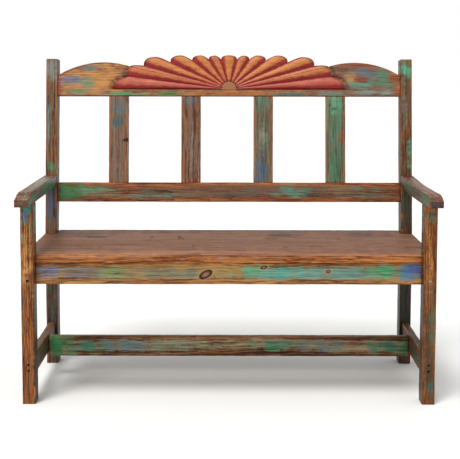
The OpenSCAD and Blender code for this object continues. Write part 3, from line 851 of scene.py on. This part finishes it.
def knots_on(node, seed, places):
    """Knots for a rail's material, from (x, height above its middle, half length, half width, tilt)."""
    lo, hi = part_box(node)
    x0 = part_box("front_leg_left")[1].x
    shift = (seed * 0.731, seed * 0.417, seed * 0.293)
    depth = (lo.y - hi.y) / 2
    return tuple(((x - x0 + shift[0], depth + shift[1], h + shift[2]), length, width, tilt)
                 for x, h, length, width, tilt in places)


def side_board(context, node, seed, base, patches, material):
    """A straight timber along Y that fills its node's box."""
    lo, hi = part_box(node)
    x, z = (lo.x + hi.x) / 2, (lo.z + hi.z) / 2
    piece = beam(f"{node}_timber", looks_of(context), base, patches, [(x, lo.y, z), (x, hi.y, z)],
                 (1, 0, 0), (0, 0, 1), lo.x - x, hi.x - x, lo.z - z, hi.z - z, seed)
    finish_piece(piece, material, node)


class BENCH_OT_stretchers(bpy.types.Operator):
    """Adds the two side stretchers and the long one between them"""

    bl_idname = "bench.stretchers"
    bl_label = "Stretchers"

    def execute(self, context):
        looks = looks_of(context)
        paint = material_once("old_paint_stretcher", painted_pine, BROWN)
        for seed, side in ((9, "left"), (10, "right")):
            side_board(context, f"side_stretcher_{side}", seed, ("#4A4F42", 0.6), [], paint)
        lo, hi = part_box("long_stretcher")
        y, z = lo.y, (lo.z + hi.z) / 2
        left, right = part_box("side_stretcher_left")[1].x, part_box("side_stretcher_right")[0].x
        patches = [
            ((left + 0.03, y, z), (0.055, 0.03, 0.05), looks.green, 1.35),
            ((left + 0.14, y, z - 0.004), (0.09, 0.03, 0.024), "#4E9278", 0.95),
            ((left + 0.26, y, z), (0.08, 0.03, 0.024), "#6F8C92", 0.85),
            ((-0.16, y, z), (0.12, 0.03, 0.020), "#8E9A80", 0.75),
            ((0.04, y, z + 0.008), (0.12, 0.03, 0.014), "#AAA27A", 0.6),
            ((0.15, y, z - 0.010), (0.045, 0.03, 0.016), "#38A060", 1.05),
            ((0.16, y, z + 0.010), (0.10, 0.03, 0.018), "#5A8A70", 0.9),
            ((0.31, y, z), (0.09, 0.03, 0.024), "#70807C", 0.85),
            ((right - 0.07, y, z), (0.07, 0.03, 0.03), "#3C8064", 0.95),
            ((right - 0.01, y, z), (0.02, 0.03, 0.05), looks.green, 0.9),
            ((left, y, z), (0.006, 0.03, 0.05), looks.plum, 1.0),
            ((right, y, z), (0.006, 0.03, 0.05), looks.plum, 1.0),
        ]
        rail(context, "long_stretcher", 11, ("#A09474", 0.50), patches, paint, (left, right))
        return {"FINISHED"}


class BENCH_OT_seat(bpy.types.Operator):
    """Adds the three seat boards, notched round the legs"""

    bl_idname = "bench.seat"
    bl_label = "Seat boards"

    def execute(self, context):
        looks = looks_of(context)
        pine = material_once("old_paint_seat", painted_pine, ORANGE, 1.2, 0.62, 0.08)
        front_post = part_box("front_leg_left")
        rear_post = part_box("rear_post_left")
        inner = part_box("front_leg_right")[0].x - 0.0003
        for seed, part in ((12, "front"), (13, "middle"), (14, "rear")):
            node = f"seat_board_{part}"
            lo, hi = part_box(node)
            y, z = (lo.y + hi.y) / 2, (lo.z + hi.z) / 2
            low = {"front": front_post[1].y + 0.0003 - y}.get(part, lo.y - y)
            high = {"rear": rear_post[0].y - 0.0003 - y}.get(part, hi.y - y)
            xs = (lo.x, -inner - 0.0008, -inner, inner, inner + 0.0008, hi.x)
            line = [(x, y, z) for x in xs]
            lows = [low, low, lo.y - y, lo.y - y, low, low]
            highs = [high, high, hi.y - y, hi.y - y, high, high]
            patches = [((0, lo.y, z - 0.004), (1.6, 0.005, 0.014), "#8A5A3A", 0.0),
                       ((0, lo.y, hi.z), (2.0, 0.007, 0.004), "#C98D5C", 0.75)] if part == "front" else []
            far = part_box("seat_board_rear")
            patches += [
                # The first patch, a dark strip the full width of the seat's rear edge under the back, is
                # painted shade.
                ((0, far[1].y, z), (1.6, 0.06, 0.03), "#55423A", 0.9),
                ((0.17, far[0].y + 0.05, hi.z), (0.05, 0.012, 0.02), "#382E2A", 1.1),
                ((0.21, far[0].y + 0.01, hi.z), (0.02, 0.030, 0.02), "#4A3C36", 1.0),
                ((0.46, far[0].y + 0.06, hi.z), (0.08, 0.020, 0.02), "#4E4038", 1.0),
                ((-0.48, far[0].y + 0.04, hi.z), (0.10, 0.030, 0.02), "#5E4A40", 0.95),
                ((-0.1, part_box("seat_board_front")[0].y + 0.04, hi.z), (0.7, 0.05, 0.02), "#96705A", 0.82),
            ]
            tight_front, tight_rear = (1 if part == "front" else 0.12), (1 if part == "rear" else 0.12)
            piece = beam(f"{node}_timber", looks, ("#7A5A49", 0.84), patches, line,
                         (0, 1, 0), (0, 0, 1), lows, highs, lo.z - z, hi.z - z, seed, spacing=0.0075,
                         sharp=(tight_rear, tight_front, tight_front, tight_rear),
                         worn=(part == "front", part == "rear"))
            finish_piece(piece, pine, node)
        return {"FINISHED"}


class BENCH_OT_arms(bpy.types.Operator):
    """Adds the two arms with their stepped noses"""

    bl_idname = "bench.arms"
    bl_label = "Arms"

    def execute(self, context):
        looks = looks_of(context)
        paint = material_once("old_paint_arm", painted_pine, BROWN, 1.0, 0.48)
        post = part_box("rear_post_left")[0].y
        for seed, side in ((15, "left"), (16, "right")):
            node = f"arm_{side}"
            lo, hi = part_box(node)
            x, half = (lo.x + hi.x) / 2, (hi.x - lo.x) / 2
            front = lo.y
            low_end = post + (lo.z - BEND) * math.tan(RAKE)
            stepped = side == "left"
            nose = np.array(STEPPED_NOSE if stepped else WORN_NOSE)
            ys = np.r_[front + nose[:, 0], np.linspace(front + nose[-1, 0], low_end, 14)[1:]]
            tops = hi.z - np.r_[nose[:, 1], np.zeros(13)]
            dip = (0 if stepped else DISH) * np.sin(math.pi * np.clip((ys - front) / (low_end - front), 0, 1))
            line = np.stack([np.full(len(ys), x), ys, -dip], 1)
            inner = hi.x if side == "left" else lo.x
            patches = [
                ((x, front, lo.z + 0.01), (0.03, 0.03, 0.02), "#3E281C" if stepped else "#3C2A20", 0.8),
                ((x, front, lo.z + 0.012), (0.014, 0.006, 0.007), "#6A5A50" if stepped else "#3E444E", 0.9),
                ((x, post - 0.15, hi.z), (0.04, 0.16, 0.02), "#7A8076" if stepped else "#665A4C", 0.62),
                ((inner, post - 0.12, lo.z + 0.015), (0.004, 0.18, 0.03), "#2F7A55" if stepped else "#3C6450",
                 1.2 if stepped else 0.8),
                ((inner, front + 0.08, lo.z + 0.015), (0.004, 0.10, 0.03), "#3C6A4E", 0.9),
                ((x, post, lo.z + 0.02), (0.03, 0.03, 0.03), looks.plum, 0.8),
            ]
            piece = beam(f"{node}_timber", looks, ("#6C7468" if stepped else "#5A4E42", 0.48), patches, line,
                         (1, 0, 0), (0, 0, 1), -half, half, lo.z, tops, seed, spacing=0.004)
            finish_piece(piece, paint, node)
        return {"FINISHED"}


class BENCH_OT_back(bpy.types.Operator):
    """Adds the lower back rail and the four slats"""

    bl_idname = "bench.back"
    bl_label = "Back rail and slats"

    def execute(self, context):
        looks = looks_of(context)
        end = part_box("front_leg_right")[0].x
        back = (0, math.cos(RAKE), -math.sin(RAKE))
        up = (0, math.sin(RAKE), math.cos(RAKE))
        rail_pine = material_once("old_paint_back_rail", painted_pine, ORANGE)
        line = lean([(-end, REVEAL, RAIL_LOW), (end, REVEAL, RAIL_LOW)])
        mid = lean([(0, REVEAL, (RAIL_LOW + RAIL_HIGH) / 2)])[0]
        patches = [
            ((-end + 0.03, mid[1], mid[2]), (0.075, 0.05, 0.045), looks.green, 1.1),
            ((-end + 0.12, mid[1], mid[2] + 0.008), (0.07, 0.05, 0.02), "#4E8F6C", 0.75),
            ((-0.25, mid[1], mid[2] - 0.01), (0.25, 0.05, 0.016), looks.teal, 0.52),
            ((0.10, mid[1], mid[2]), (0.22, 0.05, 0.02), "#5D5550", 0.55),
            ((0.21, mid[1], mid[2]), (0.05, 0.05, 0.03), "#4F8A76", 0.75),
            ((0.40, mid[1], mid[2]), (0.14, 0.05, 0.025), looks.teal, 0.55),
            ((-end, mid[1], mid[2]), (0.010, 0.05, 0.05), looks.plum, 1.0),
            ((end, mid[1], mid[2]), (0.010, 0.05, 0.05), looks.plum, 1.0),
        ]
        piece = beam("back_rail_timber", looks, ("#5E4638", 0.46), patches, line, back, up,
                     0, RAIL_T, 0, RAIL_HIGH - RAIL_LOW, 17)
        finish_piece(piece, rail_pine, "back_rail")
        slat_pine = material_once("old_paint_slat", painted_pine, SLAT_PINE)
        coats = (("#6B6255", 0.50), ("#6E5A4A", 0.50), ("#56604F", 0.60), ("#4E7058", 0.72))
        # For each slat: how far right of its middle, height above the bend, radii, colour and cover.
        marks = (
            ((0.008, 0.42, 0.03, 0.05, "#5E6E74", 0.7), (-0.005, 0.24, 0.02, 0.09, "#7A6458", 0.75),
             (-0.02, 0.33, 0.01, 0.10, "#4A6A5C", 0.6), (0.0, 0.36, 0.02, 0.02, "#3E5E66", 0.8)),
            ((0.0, 0.43, 0.04, 0.02, "#5A6A72", 0.8), (0.01, 0.27, 0.02, 0.10, "#7A6A60", 0.7)),
            ((-0.01, 0.43, 0.03, 0.03, "#4E7A6A", 0.9), (-0.008, 0.20, 0.02, 0.05, "#44607E", 0.95),
             (0.0, 0.31, 0.015, 0.04, "#7E8474", 0.9), (0.02, 0.25, 0.01, 0.09, "#3E6A5A", 0.6)),
            ((0.0, 0.42, 0.025, 0.04, "#58A07E", 1.0), (0.0, 0.20, 0.02, 0.06, "#3E7A58", 0.95),
             (0.01, 0.32, 0.02, 0.08, "#4A7662", 0.8), (-0.006, 0.405, 0.008, 0.007, "#1E2C24", 1.6),
             (0.018, 0.31, 0.008, 0.03, "#8A6A48", 0.2)),
        )
        for i, base in enumerate(coats):
            node = f"back_slat_{i + 1}"
            lo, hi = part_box(node)
            x, half = (lo.x + hi.x) / 2, (hi.x - lo.x) / 2
            line = lean([(x, SLAT_REVEAL, RAIL_HIGH), (x, SLAT_REVEAL, CREST_Z)])
            patches = [(lean([(x + right, SLAT_REVEAL, up_to)])[0], (wide, 0.05, tall), code, cover)
                       for right, up_to, wide, tall, code, cover in marks[i]]
            piece = beam(f"{node}_timber", looks, base, patches, line, (1, 0, 0), back,
                         -half, half, 0, SLAT_T, 18 + i, spacing=0.005)
            finish_piece(piece, slat_pine, node)
            if i == 0:
                nick = lean([(hi.x, SLAT_REVEAL, 0.30)])[0]
                bore(piece, [(nick, (-1, 0, 0), 0.006, 0.0035)])
        return {"FINISHED"}


class BENCH_OT_crest(bpy.types.Operator):
    """Adds the crest rail with its carved fan"""

    bl_idname = "bench.crest"
    bl_label = "Carved crest rail"

    def execute(self, context):
        looks = looks_of(context)
        pine = material_once("old_paint_carving", painted_pine, CREST_PINE, 0.65)
        y = lean([(0, REVEAL, HUB_Z)])[0][1]
        z = lean([(0, REVEAL, CREST_Z)])[0][2]
        patches = [
            ((-0.45, y, z + 0.05), (0.16, 0.05, 0.08), "#C28B50", 0.80),
            ((-0.528, y, z + 0.052), (0.045, 0.05, 0.016), "#66788C", 0.85),
            ((-0.472, y, z + 0.045), (0.024, 0.05, 0.024), "#628A74", 0.85),
            ((-0.466, y, z + 0.093), (0.040, 0.05, 0.009), "#5A7478", 0.9),
            ((-0.50, y, z + 0.015), (0.040, 0.05, 0.009), "#4A8A6A", 0.85),
            ((-0.570, y, z + 0.03), (0.004, 0.05, 0.05), "#A8667A", 0.9),
            ((0.456, y, z + 0.074), (0.065, 0.05, 0.020), "#5C6E78", 0.9),
            ((0.405, y, z + 0.055), (0.026, 0.05, 0.022), "#B28450", 0.8),
            ((0.43, y, z + 0.036), (0.045, 0.05, 0.012), "#5E9080", 0.8),
            ((0.512, y, z + 0.055), (0.032, 0.05, 0.030), "#4C8268", 0.9),
            ((0.485, y, z + 0.012), (0.085, 0.05, 0.010), "#7A948E", 0.9),
            ((0.0, y, z + 0.012), (0.36, 0.05, 0.012), "#B0713C", 0.85),
            ((0.20, y, z + 0.004), (0.07, 0.05, 0.007), "#4A6E70", 0.95),
            ((0.34, y, z + 0.006), (0.05, 0.05, 0.009), "#6F9086", 0.95),
            ((-0.35, y, z + 0.006), (0.065, 0.05, 0.007), "#3FA070", 1.1),
            ((-0.20, y, z + 0.008), (0.045, 0.05, 0.006), looks.green, 0.9),
        ]
        piece = crest("crest_rail_carving", looks, patches, 23)
        finish_piece(piece, pine, "crest_rail")
        return {"FINISHED"}


class BENCH_OT_fixings(bpy.types.Operator):
    """Gives the screws, nails and filler plugs their finishes"""

    bl_idname = "bench.fixings"
    bl_label = "Fixings"

    def execute(self, context):
        # Rusted steel, near black in its sinkings, and painted filler, pale, chalky and stained in places.
        rust = ((0.35, "#0C0907"), (0.55, "#17100C"), (0.7, "#2A1A12"))
        paste = ((0.3, "#2A2A1C"), (0.5, "#7A6844"), (0.72, "#CDBB90"))
        steel = material_once("rusted_steel", speckled, 700, rust, 0.85, 0.4, 0.0004)
        chalk = material_once("painted_filler", speckled, 300, paste, 0.7, 0.5, 0.0006)
        for node in ("front_leg_screws", "rear_post_screws", "arm_screws", "seat_nails", "wood_plugs"):
            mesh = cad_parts[node].data
            mesh.materials.clear()
            mesh.materials.append(chalk if node == "wood_plugs" else steel)
        return {"FINISHED"}


def area_light(name, place, target, size, power, colour):
    """A soft rectangular light at place that faces target."""
    light = bpy.data.lights.new(name, "AREA")
    light.shape = "RECTANGLE"
    light.size, light.size_y = size
    light.energy = power
    light.color = linear(colour)[:3]
    obj = bpy.data.objects.new(name, light)
    bpy.context.scene.collection.objects.link(obj)
    obj.location = place
    obj.rotation_euler = (Vector(target) - Vector(place)).to_track_quat("-Z", "Y").to_euler()


class BENCH_OT_stage(bpy.types.Operator):
    """Adds the pale floor, the soft studio light and the camera"""

    bl_idname = "bench.stage"
    bl_label = "Stage, light and camera"

    def execute(self, context):
        scene = context.scene
        mesh = bpy.data.meshes.new("floor")
        ring = [(30 * math.cos(a), 30 * math.sin(a), 0) for a in np.linspace(0, 2 * math.pi, 65)[:-1]]
        mesh.from_pydata(ring, [], [list(range(64))])
        floor = bpy.data.objects.new("floor", mesh)
        scene.collection.objects.link(floor)
        material = bpy.data.materials.new("pale_floor")
        material.use_nodes = True
        shader = material.node_tree.nodes["Principled BSDF"]
        shader.inputs["Base Color"].default_value = linear("#CBCBC9")
        shader.inputs["Roughness"].default_value = 0.9
        mesh.materials.append(material)

        world = bpy.data.worlds.new("studio")
        scene.world = world
        world.use_nodes = True
        world.node_tree.nodes["Background"].inputs["Color"].default_value = (1, 1, 1, 1)
        world.node_tree.nodes["Background"].inputs["Strength"].default_value = 1.0
        sun = bpy.data.lights.new("sun", "SUN")
        sun.energy = 2.6
        sun.angle = math.radians(20)
        sky = bpy.data.objects.new("sun", sun)
        scene.collection.objects.link(sky)
        sky.rotation_euler = Vector((0.20, 0.34, -1.0)).to_track_quat("-Z", "Y").to_euler()
        area_light("key", (-2.2, -3.2, 3.2), (0, 0, 0.5), (1.8, 1.8), 72, "#FFF6EC")
        scene.view_settings.view_transform = "Standard"

        camera = bpy.data.cameras.new("camera")
        camera.sensor_fit = "VERTICAL"
        camera.sensor_width = 36.0
        camera.sensor_height = 45.0
        camera.lens = 99.5
        camera.shift_x, camera.shift_y = 0.0039, -0.195
        obj = bpy.data.objects.new("camera", camera)
        scene.collection.objects.link(obj)
        obj.location = (-0.0024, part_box("front_leg_left")[0].y - 2.923, 1.0216)
        turn = Matrix.Rotation(math.pi / 2 - 0.0813, 3, "X") @ Matrix.Rotation(0.0017, 3, "Z")
        obj.rotation_euler = turn.to_euler()
        scene.camera = obj
        return {"FINISHED"}


OPERATORS = (
    BENCH_OT_stage, BENCH_OT_legs, BENCH_OT_aprons, BENCH_OT_stretchers, BENCH_OT_seat,
    BENCH_OT_arms, BENCH_OT_back, BENCH_OT_crest, BENCH_OT_fixings,
)


class BENCH_PT_panel(bpy.types.Panel):
    """The bench's settings and its operators, in the sidebar"""

    bl_label = "Arm bench"
    bl_space_type = "VIEW_3D"
    bl_region_type = "UI"
    bl_category = "Bench"

    def draw(self, context):
        for label in BenchLooks.__annotations__:
            self.layout.prop(looks_of(context), label)
        for operator in OPERATORS:
            self.layout.operator(operator.bl_idname)


def register():
    for kind in (BenchLooks, *OPERATORS, BENCH_PT_panel):
        bpy.utils.register_class(kind)
    bpy.types.Scene.bench_looks = bpy.props.PointerProperty(type=BenchLooks)


def unregister():
    del bpy.types.Scene.bench_looks
    for kind in reversed((BenchLooks, *OPERATORS, BENCH_PT_panel)):
        bpy.utils.unregister_class(kind)


def main():
    """Builds every piece in turn."""
    register()
    for operator in OPERATORS:
        group, name = operator.bl_idname.split(".")
        getattr(getattr(bpy.ops, group), name)()


if __name__ == "__main__":
    main()
